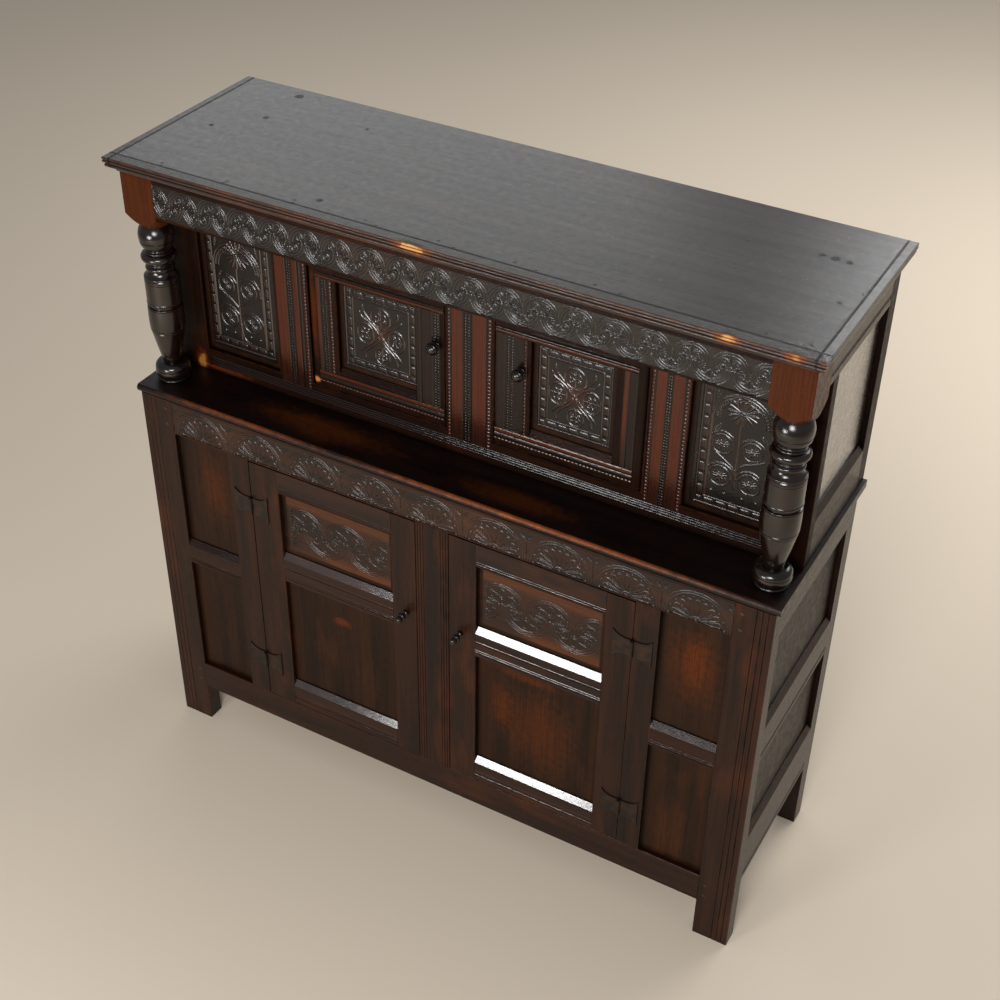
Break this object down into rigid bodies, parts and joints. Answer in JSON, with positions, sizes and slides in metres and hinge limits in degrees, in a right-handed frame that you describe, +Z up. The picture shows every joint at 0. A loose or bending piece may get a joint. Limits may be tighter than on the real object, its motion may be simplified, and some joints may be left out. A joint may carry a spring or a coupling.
{
  "type": "court cupboard",
  "caption": "Joined oak court cupboard: turned posts carry a carved frieze over a recessed cupboard, above a panelled lower cupboard with hinged doors.",
  "frame": {"origin": "on the floor, under the middle of the whole cupboard's box", "axes": "+Z up; the doors and turned posts face -Y; +X is to the right of someone facing the front"},
  "size_m": [1.64, 0.562, 1.618],
  "materials": {
    "frame_oak": "waxed dark oak, satin",
    "panel_oak": "waxed dark oak board, satin",
    "carved_oak": "carved dark oak, waxed",
    "turned_oak": "turned and polished dark oak",
    "moulded_oak": "worn red-brown moulding",
    "top_oak": "dark oak, dull grey wax bloom",
    "shelf_oak": "deeply polished red-black oak",
    "inner_oak": "dry unpolished oak",
    "peg_oak": "end grain",
    "wrought_iron": "blackened wrought iron"
  },
  "bodies": {
    "carcass": {"back_rails": "inner_oak", "base_rail": "frame_oak", "bay_panels": "panel_oak", "bay_rails": "frame_oak", "bottom_front_rail": "frame_oak", "centre_muntin": "frame_oak", "cornice_end_mouldings": "moulded_oak", "cornice_front_moulding": "moulded_oak", "fixed_hinge_leaves": "wrought_iron", "floor_boards": "inner_oak", "frieze_rail": "carved_oak", "head_rail": "frame_oak", "hinge_pins": "wrought_iron", "left_carved_panel": "carved_oak", "left_front_stile": "frame_oak", "left_muntin": "frame_oak", "left_rear_stile": "frame_oak", "left_turned_post": "turned_oak", "left_upper_front_stile": "frame_oak", "left_upper_muntin": "frame_oak", "lower_back_boards": "inner_oak", "lower_side_panels": "panel_oak", "lower_side_rails": "frame_oak", "lunette_rail": "carved_oak", "oak_pegs": "peg_oak", "right_carved_panel": "carved_oak", "right_front_stile": "frame_oak", "right_muntin": "frame_oak", "right_rear_stile": "frame_oak", "right_turned_post": "turned_oak", "right_upper_front_stile": "frame_oak", "right_upper_muntin": "frame_oak", "shelf_board": "shelf_oak", "top_board": "top_oak", "upper_back_boards": "inner_oak", "upper_centre_muntin": "frame_oak", "upper_door_pivots": "wrought_iron", "upper_rear_stiles": "frame_oak", "upper_side_panels": "panel_oak", "upper_side_rails": "frame_oak"},
    "left_lower_door": {"left_lower_door_carved_panel": "carved_oak", "left_lower_door_knob": "turned_oak", "left_lower_door_plain_panel": "panel_oak", "left_lower_door_rails": "frame_oak", "left_lower_door_stiles": "frame_oak", "left_moving_hinge_leaves": "wrought_iron"},
    "right_lower_door": {"right_lower_door_carved_panel": "carved_oak", "right_lower_door_knob": "turned_oak", "right_lower_door_plain_panel": "panel_oak", "right_lower_door_rails": "frame_oak", "right_lower_door_stiles": "frame_oak", "right_moving_hinge_leaves": "wrought_iron"},
    "left_upper_door": {"left_upper_door_knob": "turned_oak", "left_upper_door_panel": "carved_oak", "left_upper_door_rails": "frame_oak", "left_upper_door_stiles": "frame_oak"},
    "right_upper_door": {"right_upper_door_knob": "turned_oak", "right_upper_door_panel": "carved_oak", "right_upper_door_rails": "frame_oak", "right_upper_door_stiles": "frame_oak"}
  },
  "joints": [
    {"name": "left_lower_door_hinge", "type": "hinge", "parent": "carcass", "child": "left_lower_door", "pos_m": [-0.49925, -0.2485, 0.56], "axis": [0, 0, -1], "range_deg": [0, 175]},
    {"name": "right_lower_door_hinge", "type": "hinge", "parent": "carcass", "child": "right_lower_door", "pos_m": [0.49925, -0.2485, 0.56], "axis": [0, 0, 1], "range_deg": [0, 175]},
    {"name": "left_upper_door_hinge", "type": "hinge", "parent": "carcass", "child": "left_upper_door", "pos_m": [-0.3885, -0.095, 1.28], "axis": [0, 0, -1], "range_deg": [0, 95]},
    {"name": "right_upper_door_hinge", "type": "hinge", "parent": "carcass", "child": "right_upper_door", "pos_m": [0.4195, -0.095, 1.28], "axis": [0, 0, 1], "range_deg": [0, 95]}
  ]
}
